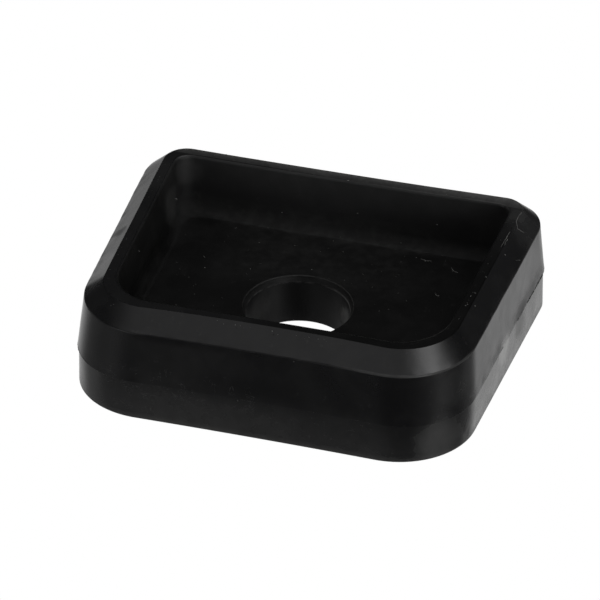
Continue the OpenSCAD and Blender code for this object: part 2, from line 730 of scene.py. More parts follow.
@dataclass(frozen=True)
class MouldedRubber(Finish):
    """Carbon-black rubber pressed in a polished steel mould, handled and a little dusty.

    The clean skin gives a soft satin gloss over deep black. Bloom, the pale film that wax leaves on moulded
    rubber, greys and dulls it, most on the lower band. The same pale film also paints highlights along the
    rim's edges and round the hole, a painted sheen and paler tone in the recess, and a painted glow at the
    foot. Talc only greys it. A blacker tone paints shade in the recess and on the land's right half.
    """

    name: str = "moulded_black_rubber"
    colour: str = "#202021"
    # Blacker tone that paints shade in the recess and on the land's right half.
    painted_shade_colour: str = "#0a0a0a"
    # Pale colour of bloom and talc, also laid on as painted highlights, sheen and glow.
    film_and_painted_light_colour: str = "#bdbdbb"
    ior: float = 1.5
    roughness: float = 0.2
    recess_roughness: float = 0.46
    least_roughness: float = 0.08
    film_roughness: float = 1.18
    scuff_roughness: float = 0.25
    scuff_film: float = 0.046
    scuff_depth: float = -0.004
    uneven_roughness: float = 0.16
    uneven: Cloud = Cloud(2.2, 4.0, 31.0)
    # Fine grain, orange peel and slow swell, each with its depth. Real grain is under 0.1 mm and wouldn't
    # show, so it is drawn coarser, 0.16 mm wide.
    relief: tuple[tuple[Cloud, float], ...] = (
        (Cloud(0.16, 1.0, 2.0), 0.0022),
        (Cloud(0.9, 2.0, 13.0), 0.006),
        (Cloud(4.5, 1.0, 17.0), 0.03),
    )
    # Outline of the recess: half sizes, middle along Y, and the radius of its back and front corners.
    recess_half: tuple[float, float] = (16.95, 13.05)
    recess_middle_y: float = 0.45
    recess_radii: tuple[float, float] = (1.7, 4.8)
    front_corners: tuple[float, float] = (4.0, -4.0)
    outline_blend: float = 0.1
    recess_heights: tuple[float, float, float, float] = (0.0, 0.04, 11.1, 11.19)
    front_start_y: tuple[float, float] = (-14.0, -15.0)
    front_half_length: tuple[float, float] = (14.5, 11.0)
    hole: Point = (-0.764, -0.302, 2.5)
    hole_reach: float = 6.5
    film_and_painted_light_zones: tuple[Zone, ...] = (
        # Paler lower band on the front and the sides: bloom, with a painted glow at the very foot, where it
        # meets the white floor.
        Zone(Face.FRONT, 0.028, Extent(z=(6.4, 1.2)), LOW_BAND_RISE),
        Zone(Face.SIDES, 0.028, Extent(z=(4.35, 4.0)), LOW_BAND_RISE),
        Zone(Face.FRONT, 0.03, Extent(z=(5.4, 2.6)), ((0.045, Extent(x=(8.0, -6.0))),)),
        Zone(Face.FRONT, 0.035, Extent(x=(0.0, -9.0), z=(4.0, 5.4, 8.6, 9.3))),
        # Painted light on the recess's back wall: paler towards its top, which sees more of the lamps over
        # the front rim, and a painted sheen along its foot.
        Zone(Face.RECESS, 0.05, Extent(y=(12.2, 13.0), z=(5.0, 11.0)),
             ((0.035, Extent(x=(-14.0, -7.0))), (-0.022, Extent(x=(3.0, 12.0))))),
        Zone(Face.RECESS, 0.05, Extent((15.0, 6.0), (11.0, 12.4), (7.2, 6.0)), texture=Texture.CLOUDY),
        Zone(Face.RECESS, 0.034, Extent((-13.0, -6.0, 4.0, 11.0), (0.0, 6.0), (4.95, 5.04, 5.1, 5.3)),
             texture=Texture.CLOUDY),
        Zone(Face.RECESS, 0.03, Extent(x=(-15.2, -16.2), z=(5.1, 6.5))),
        # Painted highlights along edges: the inner edge of the land at the front right, the back land towards
        # the rim's edge, and the brow at the front-right corner.
        Zone(Face.MOUTH, 0.14, Extent((0.0, 8.0), (-6.0, -9.0), (11.11, 11.15, 11.19, 11.1995))),
        Zone(Face.OUTSIDE, 0.2, Extent(y=(13.2, 13.35), z=(11.02, 11.16)), ((0.46, Extent(y=(13.3, 14.6))),),
             Texture.SPECKLED),
        Zone(Face.OUTSIDE, 0.22, Extent((6.0, 12.0), (-8.0, -11.0), (9.38, 9.5, 9.6, 9.7))),
        # Painted light round the hole: a paler foot of the bore, and bright lines along the edges of its
        # mouth, most on the right and at its ends.
        Zone(Face.HOLE, 0.34, Extent(z=(1.2, 0.0))),
        Zone(Face.HOLE, 0.26, HOLE_EDGE, (
            (0.3, Extent(x=(-3.764, -5.564))),
            (0.3, Extent(x=(2.236, 4.036))),
            (0.8, Extent(x=RIGHT_OF_HOLE)),
            (4.0, Extent(x=RIGHT_OF_HOLE, z=(4.58, 4.48))), (0.3, Extent(z=(4.95, 4.99))),
            (2.2, Extent(x=RIGHT_OF_HOLE, z=(4.95, 4.99))))),
        Zone(Face.HOLE, 0.0, HOLE_EDGE, ((1.2, Extent(z=(4.58, 4.48))), (1.3, Extent(z=(4.95, 4.99)))),
             Texture.RAGGED),
    )
    talc_zones: tuple[Zone, ...] = (
        Zone(Face.OUTSIDE, 0.35, Extent(x=(19.0, 19.7), z=(3.6, 0.4)), texture=Texture.DUSTED),
        Zone(Face.OUTSIDE, 0.16, Extent(x=(19.55, 19.85), z=(4.2, 4.1))),
        Zone(Face.OUTSIDE, 0.06, Extent(x=(19.4, 19.8)), texture=Texture.DRIFTED),
    )
    roughness_zones: tuple[Zone, ...] = (
        Zone(Face.RECESS, -0.14, Extent((-13.6, -14.6), (10.5, 6.0), (5.06, 5.12, 6.2, 7.4))),
        Zone(Face.RECESS, 0.3, Extent(y=(9.5, 11.5), z=(5.06, 5.12, 6.2, 7.6))),
    )
    patches: tuple[Patch, ...] = (
        Patch((17.2, 12.4, 11.2), 1.9, bloom_and_painted_light=0.1),
        Patch((17.6, -14.2, 1.8), 3.4, bloom_and_painted_light=0.14, roughness=0.1),
        Patch((18.9, 11.2, 10.3), 3.4, bloom_and_painted_light=0.07),
        # Painted highlight on the hole's back right wall, and paler painted tone on its left wall.
        Patch((3.2, 2.7, 2.2), 1.8, bloom_and_painted_light=1.0),
        Patch((-5.2, 1.9, 2.6), 2.0, bloom_and_painted_light=0.2),
        # Painted sheen on the front-right corner's wall.
        Patch((18.8, -12.6, 7.2), 2.6, bloom_and_painted_light=0.06),
        # Painted highlight in the back-left corner of the recess.
        Patch((-15.9, 12.7, 9.6), 2.0, bloom_and_painted_light=0.09),
        Patch((-16.6, 9.6, 7.5), 2.6, bloom_and_painted_light=0.14),
        Patch((-18.2, 9.0, 11.2), 4.2, bloom_and_painted_light=0.05),
        # Painted highlight on the left chamfer.
        Patch((-18.6, -8.7, 10.3), 0.9, bloom_and_painted_light=0.12),
        Patch((-18.7, -0.5, 10.4), 1.0, roughness=0.17),
        Patch((-17.4, -11.6, 10.3), 2.6, roughness=0.12),
        Patch((19.8, 5.6, 3.2), 2.4, roughness=0.09),
        Patch((-18.6, -7.6, 10.4), 3.6, roughness=-0.08),
        Patch((-18.8, 10.6, 10.4), 3.2, roughness=0.03),
        Patch((19.8, 0.4, 3.5), 2.4, talc=0.62, extent=Extent(z=(5.4, 4.2))),
    )
    cloud_film: float = 0.022
    fleck_film: float = 0.05
    dapple_mean: float = 0.306
    dapple_swing: float = 0.408
    # How much painted shade falls down the hole and on the land's right half.
    painted_shade_in_bore: float = 0.35
    painted_shade_on_land: float = 0.9
    trimmed_roughness: float = 0.1
    trimmed_least: float = 0.25
    scuffed_front: float = 0.8
    scuffed_least: float = 0.12
    film_warp: float = 0.3
    roughness_warp: float = 0.35

    def within_mouth(self, skin: Surface) -> Amount:
        """Gives what lies inside the recess's outline, whatever the height.

        Args:
            skin: The skin.

        Returns:
            1 inside it, and 0 outside it.
        """
        back_r, front_r = self.recess_radii
        radius = skin.y.rise(*self.front_corners) * (front_r - back_r) + back_r
        core = [(half - radius).socket for half in self.recess_half]
        corner = add_node(skin.tree, "ShaderNodeCombineXYZ", X=core[0], Y=core[1], Z=FAR_OFF)
        reach = add_node(skin.tree, "ShaderNodeVectorMath", {"operation": "SUBTRACT"}, i0=skin.place,
                         i1=(0.0, self.recess_middle_y, 0.0))
        for operation, other in (("ABSOLUTE", None), ("SUBTRACT", corner.outputs[0]), ("MAXIMUM", (0, 0, 0))):
            inputs = {"i0": reach.outputs[0]} if other is None else {"i0": reach.outputs[0], "i1": other}
            reach = add_node(skin.tree, "ShaderNodeVectorMath", {"operation": operation}, **inputs)
        length = add_node(skin.tree, "ShaderNodeVectorMath", {"operation": "LENGTH"}, i0=reach.outputs[0])
        past = Amount(skin.tree, length.outputs["Value"]) - radius
        return past.rise(self.outline_blend, -self.outline_blend)

    def faces(self, skin: Surface) -> dict[Face, Amount]:
        """Tells the faces of the skin apart.

        Args:
            skin: The skin.

        Returns:
            For each face 1 on it, and 0 elsewhere.
        """
        mouth = self.within_mouth(skin)
        recess = mouth * Extent(z=self.recess_heights).share(skin)
        outside = 1.0 - recess
        front = skin.y.rise(*self.front_start_y) * abs(skin.x).rise(*self.front_half_length)
        return {
            Face.OUTSIDE: outside,
            Face.FRONT: outside * front,
            Face.SIDES: outside * (1.0 - front),
            Face.RECESS: recess,
            Face.MOUTH: mouth,
            Face.HOLE: skin.spot(self.hole, self.hole_reach),
        }

    def textures(self, skin: Surface) -> dict[Texture, Amount]:
        """Gives what breaks the films up.

        Args:
            skin: The skin.

        Returns:
            Each texture, as what a film is multiplied by.
        """
        drifts = Cloud(2.4, 4.0, 61.0, 0.6).laid_on(skin)
        drifts = drifts + Cloud(0.8, 3.0, 71.0, ends=(0.4, 0.7)).laid_on(skin)
        return {
            Texture.CLOUDY: drifts * 0.8 + 0.2,
            Texture.SPECKLED: Cloud(0.35, 2.0, 53.0).laid_on(skin) + 0.4,
            Texture.RAGGED: Cloud(0.5, 2.0, 67.0, ends=(0.42, 0.58)).laid_on(skin),
            Texture.DUSTED: Cloud(1.2, 5.0, 41.0, 0.2, (0.3, 0.72)).laid_on(skin),
            Texture.DRIFTED: Cloud(1.9, 5.0, 47.0, 0.3, (0.45, 0.75)).laid_on(skin),
        }

    def bloom_and_painted_light(self, skin: Surface) -> Amount:
        """Gives how much of the skin's colour is pale film: bloom, and in many zones and spots painted
        highlights, sheen and glow.

        Args:
            skin: The skin.

        Returns:
            The share.
        """
        clouds = Cloud(3.4, 4.0, 3.0, 0.4, (0.42, 0.72)).laid_on(skin) * self.cloud_film
        flecks = Cloud(0.55, 3.0, 11.0, ends=(0.6, 0.75)).laid_on(skin) * self.fleck_film
        gathered = Cloud(2.6, 1.0, 19.0, ends=(0.45, 0.65)).laid_on(skin)
        film_and_painted_light = clouds + flecks * gathered
        for zone in self.film_and_painted_light_zones:
            film_and_painted_light = film_and_painted_light + zone.laid_on(skin)
        for patch in self.patches:
            if patch.bloom_and_painted_light:
                film_and_painted_light = film_and_painted_light + patch.laid_on(skin, patch.bloom_and_painted_light, self.film_warp)
        dapple = Cloud(1.3, 3.0, 5.0).laid_on(skin) * self.dapple_swing + self.dapple_mean
        return (film_and_painted_light * dapple).joined("MINIMUM", 1.0)

    def talc(self, skin: Surface) -> Amount:
        """Gives how much mould talc is left on the right wall, most towards the flat face."""
        spots = [patch.laid_on(skin, patch.talc, self.film_warp) for patch in self.patches if patch.talc]
        return sum(spots + [zone.laid_on(skin) for zone in self.talc_zones])

    def painted_shade(self, skin: Surface) -> Amount:
        """Gives the painted shade that makes the skin blackest: on the recess's floor and its walls, all but
        the back wall's top, a little down the hole, and on the land's right half, where it dims a reflection.

        Args:
            skin: The skin.

        Returns:
            1 where it is at its blackest, and 0 elsewhere.
        """
        floor = skin.z.rise(7.5, 5.2).joined("MAXIMUM", skin.y.rise(12.6, 11.0))
        bore = skin.z.rise(5.0, 4.5) * self.painted_shade_in_bore
        land = Extent((-8.0, 6.0), (10.0, 2.0), (11.14, 11.18)).share(skin) * self.painted_shade_on_land
        inside = skin.faces[Face.RECESS] * (skin.z.rise(4.5, 5.0) * floor + bore)
        return inside + skin.faces[Face.OUTSIDE] * land

    def trimmed(self, skin: Surface) -> Amount:
        """Gives the duller skin just above the right wall's parting line, where flash was trimmed off.

        Args:
            skin: The skin.

        Returns:
            How much rougher it is.
        """
        near_line = Extent(x=(19.0, 19.5), z=(4.2, 4.4, 4.8, 6.2)).share(skin)
        kept = 1.0 - skin.spot((19.8, 1.3, 4.8), 2.6)
        ragged = Cloud(1.7, 3.0, 83.0, ends=(0.3, 0.62)).laid_on(skin) + self.trimmed_least
        return near_line * kept * ragged * self.trimmed_roughness

    def scuffs(self, skin: Surface) -> Amount:
        """Gives thin curled scuff lines, thickest on the front wall's lower left half.

        Args:
            skin: The skin.

        Returns:
            1 on the strongest line, and 0 off the lines.
        """
        line = abs(Cloud(0.75, 2.0, 7.0, 1.2).laid_on(skin) - 0.5).rise(0.016, 0.004)
        few = Cloud(1.8, 1.0, 23.0, ends=(0.53, 0.62)).laid_on(skin)
        front = Extent((3.0, -3.0), (-15.6, -15.9), (0.8, 1.4, 5.4, 6.6)).share(skin)
        return line * few * (front * self.scuffed_front + self.scuffed_least)

    def dullness(self, skin: Surface, film_and_painted_light: Amount, scuffs: Amount) -> Amount:
        """Gives the skin's roughness.

        Args:
            skin: The skin.
            film_and_painted_light: How much pale film lies on it, as bloom and as painted light.
            scuffs: Where it is scuffed.

        Returns:
            The roughness.
        """
        rough = skin.faces[Face.RECESS] * (self.recess_roughness - self.roughness) + self.roughness
        rough = rough + (self.uneven.laid_on(skin) - 0.5) * self.uneven_roughness
        rough = rough + film_and_painted_light * self.film_roughness + scuffs * self.scuff_roughness + self.trimmed(skin)
        for zone in self.roughness_zones:
            rough = rough + zone.laid_on(skin)
        for patch in self.patches:
            if patch.roughness:
                rough = rough + patch.laid_on(skin, patch.roughness, self.roughness_warp)
        return rough.joined("MAXIMUM", self.least_roughness)

    def material(self) -> bpy.types.Material:
        """Builds the material.

        Returns:
            The material.
        """
        mat = self.start()
        tree = mat.node_tree
        shader = tree.nodes["Principled BSDF"]
        shader.inputs["IOR"].default_value = self.ior
        skin = Surface(tree)
        skin.faces, skin.textures, scuffs = self.faces(skin), self.textures(skin), self.scuffs(skin)
        film_and_painted_light = (self.bloom_and_painted_light(skin) + scuffs * self.scuff_film).joined("MINIMUM", 1.0)
        powder_and_painted_light = film_and_painted_light + self.talc(skin)
        # Painted shade makes the colour blacker, then the pale film, part bloom and talc, part painted light,
        # makes it paler.
        shaded_colour = add_node(tree, "ShaderNodeMix", {"data_type": "RGBA"}, i0=self.painted_shade(skin).socket,
                         i6=linear(self.colour), i7=linear(self.painted_shade_colour))
        colour = add_node(tree, "ShaderNodeMix", {"data_type": "RGBA"}, i0=powder_and_painted_light.socket, i6=shaded_colour.outputs[2],
                          i7=linear(self.film_and_painted_light_colour))
        height = scuffs * self.scuff_depth
        for cloud, depth in self.relief:
            height = height + cloud.laid_on(skin) * depth
        bump = add_node(tree, "ShaderNodeBump", Strength=1.0, Distance=MM, Height=height.socket)
        tree.links.new(colour.outputs[2], shader.inputs["Base Color"])
        tree.links.new(self.dullness(skin, film_and_painted_light, scuffs).socket, shader.inputs["Roughness"])
        tree.links.new(bump.outputs[0], shader.inputs["Normal"])
        return mat


@dataclass(frozen=True)
class LightTable(Finish):
    """White acrylic lit from below, which throws no shadow. From underneath it can be seen through."""

    name: str = "lit_white_acrylic"
    strength: float = 1.0

    def material(self) -> bpy.types.Material:
        """Builds the material.

        Returns:
            The material.
        """
        mat = self.start()
        tree = mat.node_tree
        tree.nodes.remove(tree.nodes["Principled BSDF"])
        glow = add_node(tree, "ShaderNodeEmission", Color=(1, 1, 1, 1), Strength=self.strength)
        clear = add_node(tree, "ShaderNodeBsdfTransparent")
        underside = add_node(tree, "ShaderNodeNewGeometry").outputs["Backfacing"]
        face = add_node(tree, "ShaderNodeMixShader", i0=underside, i1=glow.outputs[0], i2=clear.outputs[0])
        tree.links.new(face.outputs[0], tree.nodes["Material Output"].inputs["Surface"])
        return mat


@dataclass(frozen=True)
class TwoTone(Finish):
    """A dull finish whose darker and paler tone run into each other."""

    dark: str = "#000000"
    pale: str = "#ffffff"
    roughness: float = 0.5
    ior: float = 1.5
    cloud: Cloud = Cloud(1.0)

    def material(self) -> bpy.types.Material:
        """Builds the material.

        Returns:
            The material.
        """
        mat = self.start()
        tree = mat.node_tree
        shader = tree.nodes["Principled BSDF"]
        shader.inputs["Roughness"].default_value = self.roughness
        shader.inputs["IOR"].default_value = self.ior
        cloud = self.cloud.laid_on(Surface(tree))
        tone = add_node(tree, "ShaderNodeMix", {"data_type": "RGBA"}, i0=cloud.socket,
                        i6=linear(self.dark), i7=linear(self.pale))
        tree.links.new(tone.outputs[2], shader.inputs["Base Color"])
        return mat


@dataclass(frozen=True)
class TornFlash(TwoTone):
    """Torn edge of rubber flash: the same rubber, but dull and greyed, as no mould face ever polished it."""

    name: str = "torn_rubber_flash"
    dark: str = "#3c3c3b"
    pale: str = "#727270"
    roughness: float = 0.7
    cloud: Cloud = Cloud(0.25, 3.0, ends=(0.35, 0.7))


@dataclass(frozen=True)
class PaleDust(TwoTone):
    """House dust and lint: pale, matt fibres and grains that stand out as fine points on the black."""

    name: str = "pale_dust"
    dark: str = "#4a4a49"
    pale: str = "#8f8f8d"
    roughness: float = 0.85
    cloud: Cloud = Cloud(1.1, 1.0, ends=(0.3, 0.7))


# --- What clings to the skin: flash, dust and lint, grown by Geometry Nodes ---


class Growth:
    """A Geometry Nodes tree with named inputs, run once on a source mesh and kept as plain mesh."""

    def __init__(self, name: str, finish: Finish) -> None:
        """Starts the tree.

        Args:
            name: The name of the tree and of the finished piece.
            finish: The finish that its Set Material node gives.
        """
        self.name = name
        self.skin = finish.material()
        self.values: dict[str, Any] = {}
        self.tree = bpy.data.node_groups.new(name, "GeometryNodeTree")
        for in_out in ("INPUT", "OUTPUT"):
            self.tree.interface.new_socket(name="Geometry", in_out=in_out, socket_type="NodeSocketGeometry")
        self.entry = add_node(self.tree, "NodeGroupInput")

    def size(self, name: str, value: float | int) -> bpy.types.NodeSocket:
        """Adds one named input and remembers its value.

        Args:
            name: The input's name.
            value: What it is set to on the modifier.

        Returns:
            The socket inside the tree.
        """
        kind = "NodeSocketInt" if isinstance(value, int) else "NodeSocketFloat"
        self.tree.interface.new_socket(name=name, in_out="INPUT", socket_type=kind)
        self.values[name] = value
        return self.entry.outputs[name]

    def add(self, kind: str, settings: dict[str, Any] | None = None, **inputs: Any) -> bpy.types.NodeSocket:
        """Adds one node to the tree and gives its first output, if it has one."""
        node = add_node(self.tree, kind, settings, **inputs)
        return next(iter(node.outputs), None)

    def finish(self, geometry: bpy.types.NodeSocket, source: bpy.types.Object) -> bpy.types.Object:
        """Ends the tree, runs it on the source and keeps the result.

        Args:
            geometry: What the tree has made.
            source: The object it runs on, which is removed.

        Returns:
            The finished piece.
        """
        real = self.add("GeometryNodeRealizeInstances", i0=geometry)
        dressed = self.add("GeometryNodeSetMaterial", Geometry=real, Material=self.skin)
        self.add("NodeGroupOutput", i0=dressed)
        modifier = source.modifiers.new(self.name, "NODES")
        modifier.node_group = self.tree
        for item in self.tree.interface.items_tree:
            if item.in_out == "INPUT" and item.name in self.values:
                modifier[item.identifier] = self.values[item.name]
        ready = source.evaluated_get(bpy.context.evaluated_depsgraph_get())
        mesh = bpy.data.meshes.new_from_object(ready)
        mesh.name = self.name
        source.modifiers.remove(modifier)
        bpy.data.objects.remove(source)
        return placed(self.name, mesh)


def source_mesh(name: str, points: Sequence[Sequence[float]], edges: Sequence[tuple[int, int]],
                **attributes: Sequence[Any]) -> bpy.types.Object:
    """Makes a mesh of points and edges for a growth to run on.

    Args:
        name: Its name.
        points: Positions in millimetres.
        edges: Pairs of point numbers.
        **attributes: Name to one number, or one vector, per point.

    Returns:
        The object.
    """
    mesh = bpy.data.meshes.new(name)
    mesh.from_pydata([tuple(float(v) * MM for v in p) for p in points], list(edges), [])
    for key, values in attributes.items():
        vector = hasattr(values[0], "__len__")
        layer = mesh.attributes.new(key, "FLOAT_VECTOR" if vector else "FLOAT", "POINT")
        flat = [float(c) for v in values for c in v] if vector else [float(v) for v in values]
        layer.data.foreach_set("vector" if vector else "value", flat)
    return placed(name, mesh)


@dataclass(frozen=True)
class Stretch:
    """A stretch of the parting line and the flash left on it: a base and lumps, up to a most."""

    low: tuple[float, float]
    high: tuple[float, float]
    base: float
    lumps: float
    most: float

    def holds(self, x: float, y: float) -> bool:
        """Tells whether a point of the line is in the stretch."""
        return self.low[0] < x < self.high[0] and self.low[1] < y < self.high[1]


@dataclass
class PartingFlash:
    """Ragged nibs of flash left along the mould's parting line, mostly at the back of the right wall."""

    spacing: float = 0.16
    length: float = 0.34
    height: float = 0.16
    reach: float = 0.09
    least: float = 0.08
    share_range: tuple[Point, Point] = ((0.35, 0.2, 0.25), (1.0, 1.0, 1.0))
    lumps_per_mm: float = 0.45
    lump_layer: float = 7.0
    seed: int = 4
    # The first stretch that holds a point counts: right wall's back end, its rest, left side, back, front.
    stretches: tuple[Stretch, ...] = (
        Stretch((17.0, 8.0), (FAR_OFF, 13.0), 0.3, 0.7, 0.8),
        Stretch((17.0, -FAR_OFF), (FAR_OFF, 13.0), 0.0, 0.5, 0.35),
        Stretch((-FAR_OFF, -FAR_OFF), (-15.0, FAR_OFF), 0.0, 0.5, 0.5),
        Stretch((-FAR_OFF, 13.0), (FAR_OFF, FAR_OFF), 0.0, 0.5, 0.5),
        Stretch((-FAR_OFF, -FAR_OFF), (FAR_OFF, FAR_OFF), -0.05, 0.25, 0.2),
    )

    def raggedness(self, point: np.ndarray) -> float:
        """Gives how much flash there is at a point of the line.

        Args:
            point: The point, in millimetres.

        Returns:
            The share, from 0 to 1.
        """
        x, y = float(point[0]), float(point[1])
        lumps = noise.noise(Vector((x * self.lumps_per_mm, y * self.lumps_per_mm, self.lump_layer))) + 0.5
        here = next(stretch for stretch in self.stretches if stretch.holds(x, y))
        return float(np.clip(here.base + here.lumps * lumps, 0.0, here.most))

    def build(self, line: np.ndarray, finish: Finish) -> bpy.types.Object:
        """Grows the nibs.

        Args:
            line: The parting line as a closed ring of points, in millimetres.
            finish: Their finish.

        Returns:
            The piece.
        """
        ahead = np.roll(line, -1, axis=0) - np.roll(line, 1, axis=0)
        outward = np.column_stack([ahead[:, 1], -ahead[:, 0], np.zeros(len(line))])
        outward /= np.linalg.norm(outward, axis=1)[:, None]
        count = len(line)
        source = source_mesh("parting_path", line, [(i, (i + 1) % count) for i in range(count)],
                             outward=outward, ragged=[self.raggedness(p) for p in line])
        grow = Growth("parting_flash", finish)
        spacing = grow.size("Spacing", self.spacing * MM)
        length, height = grow.size("Nib Length", self.length * MM), grow.size("Nib Height", self.height * MM)
        reach, seed = grow.size("Nib Reach", self.reach * MM), grow.size("Seed", self.seed)
        path = grow.add("GeometryNodeMeshToCurve", i0=grow.entry.outputs["Geometry"])
        steps = grow.add("GeometryNodeResampleCurve", {"mode": "LENGTH"}, i0=path, i3=spacing)
        ragged = grow.add("GeometryNodeInputNamedAttribute", {"data_type": "FLOAT"}, Name="ragged")
        away = grow.add("GeometryNodeInputNamedAttribute", {"data_type": "FLOAT_VECTOR"}, Name="outward")
        turn = grow.add("FunctionNodeAxesToRotation", {"primary_axis": "Y", "secondary_axis": "Z"},
                        i0=away, i1=(0, 0, 1))
        share = grow.add("FunctionNodeRandomValue", {"data_type": "FLOAT_VECTOR"},
                         i0=self.share_range[0], i1=self.share_range[1], i8=seed)
        full = grow.add("ShaderNodeCombineXYZ", i0=length, i1=reach, i2=height)
        part = grow.add("ShaderNodeVectorMath", {"operation": "MULTIPLY"}, i0=full, i1=share)
        grown = grow.add("ShaderNodeVectorMath", {"operation": "SCALE"}, i0=part, Scale=ragged)
        nib = grow.add("GeometryNodeMeshIcoSphere", i0=1.0, i1=1)
        there = grow.add("ShaderNodeMath", {"operation": "GREATER_THAN"}, i0=ragged, i1=self.least)
        nibs = grow.add("GeometryNodeInstanceOnPoints", i0=steps, i1=there, i2=nib, i5=turn, i6=grown)
        return grow.finish(nibs, source)


@dataclass
class DustGrains:
    """Grains of dust: the ones that stand out, and a thin scatter over what faces up."""

    size: float = 0.075
    seed: int = 11
    floor_z: float = 5.05
    rim_z: float = 11.2
    floor_count: int = 150
    floor_x: tuple[float, float] = (-15.5, 15.8)
    floor_y: tuple[float, float] = (-12.0, 12.4)
    floor_core: tuple[float, float] = (11.0, 8.5)
    floor_sizes: tuple[float, float] = (0.25, 0.9)
    floor_size_power: float = 1.5
    hole: tuple[float, float] = (-0.76, -0.3)
    hole_clearance: float = 6.2
    rim_count: int = 70
    rim_x: float = 17.4
    rim_y: tuple[float, float] = (-14.0, 13.75)
    rim_spans: tuple[float, float] = (16.5, 9.0)
    rim_long_share: float = 0.6
    rim_stray: float = 0.2
    rim_sizes: tuple[float, float] = (0.3, 0.9)
    shape_range: tuple[Point, Point] = ((0.5, 0.5, 0.4), (1.2, 1.2, 0.9))
    turn_range: tuple[Point, Point] = ((0.0, 0.0, 0.0), (0.6, 0.6, 6.28))
    marked: tuple[Spot, ...] = (
        (-16.45, 10.9, 7.3, 2.6), (-6.3, 12.9, 6.4, 1.2), (0.3, 13.2, 11.2, 1.3), (1.3, 13.0, 7.7, 1.4),
        (9.3, 13.1, 7.85, 1.2), (8.8, 10.7, 5.05, 1.2), (10.7, 11.2, 5.05, 1.0), (11.9, 9.8, 5.05, 1.5),
        (11.7, 5.2, 5.05, 1.7), (7.0, 1.1, 5.05, 1.2), (3.7, 6.8, 5.05, 1.1), (7.9, 4.6, 5.05, 1.3),
        (5.8, 12.6, 5.35, 1.0), (-0.2, 12.2, 5.15, 1.2), (-0.7, 11.5, 5.05, 1.0),
        (-11.9, 5.25, 5.05, 1.5), (-11.3, 3.45, 5.05, 1.4), (-7.1, 3.6, 5.05, 1.0),
        (-16.45, -1.6, 9.3, 1.5), (-8.2, -1.1, 5.05, 1.5), (-13.4, -3.0, 5.05, 1.1),
        (18.37, 5.72, 10.8, 1.7), (17.63, -2.0, 11.2, 2.0), (18.17, -3.79, 10.94, 2.6),
        (17.86, 0.97, 11.2, 1.3), (17.5, -4.1, 11.2, 1.5), (-2.1, -16.25, 4.0, 1.6),
        (3.4, -15.7, 9.3, 1.3),
    )

    def spots(self) -> list[Spot]:
        """Gives where the grains lie.

        Returns:
            Each grain's place, in millimetres, and its share of the usual size.
        """
        rng = np.random.default_rng(self.seed)
        out = list(self.marked)
        while len(out) < len(self.marked) + self.floor_count:
            x, y = rng.uniform(*self.floor_x), rng.uniform(*self.floor_y)
            off_hole = math.hypot(x - self.hole[0], y - self.hole[1]) > self.hole_clearance
            if off_hole and (abs(x) < self.floor_core[0] or abs(y) < self.floor_core[1]):
                share = float(rng.uniform(*self.floor_sizes) ** self.floor_size_power)
                out.append((x, y, self.floor_z, share))
        for _ in range(self.rim_count):
            along = rng.uniform(-1, 1)
            if rng.random() < self.rim_long_share:
                x, y = along * self.rim_spans[0], rng.choice(self.rim_y)
            else:
                x, y = rng.choice([-self.rim_x, self.rim_x]), along * self.rim_spans[1]
            y += rng.normal(0, self.rim_stray)
            out.append((float(x), float(y), self.rim_z, float(rng.uniform(*self.rim_sizes))))
        return out

    def build(self, finish: Finish) -> bpy.types.Object:
        """Grows the grains.

        Args:
            finish: Their finish.

        Returns:
            The piece.
        """
        spots = self.spots()
        source = source_mesh("dust_places", [s[:3] for s in spots], [], grain=[s[3] for s in spots])
        grow = Growth("dust_grains", finish)
        size, seed = grow.size("Grain Size", self.size * MM), grow.size("Seed", self.seed)
        places = grow.add("GeometryNodeMeshToPoints", i0=grow.entry.outputs["Geometry"])
        shape, turn = (
            grow.add("FunctionNodeRandomValue", {"data_type": "FLOAT_VECTOR"}, i0=low, i1=high, i8=seed)
            for low, high in (self.shape_range, self.turn_range))
        grain = grow.add("GeometryNodeInputNamedAttribute", {"data_type": "FLOAT"}, Name="grain")
        scaled = grow.add("ShaderNodeVectorMath", {"operation": "SCALE"}, i0=shape, Scale=size)
        sized = grow.add("ShaderNodeVectorMath", {"operation": "SCALE"}, i0=scaled, Scale=grain)
        ball = grow.add("GeometryNodeMeshIcoSphere", i0=1.0, i1=1)
        grains = grow.add("GeometryNodeInstanceOnPoints", i0=places, i2=ball, i5=turn, i6=sized)
        return grow.finish(grains, source)


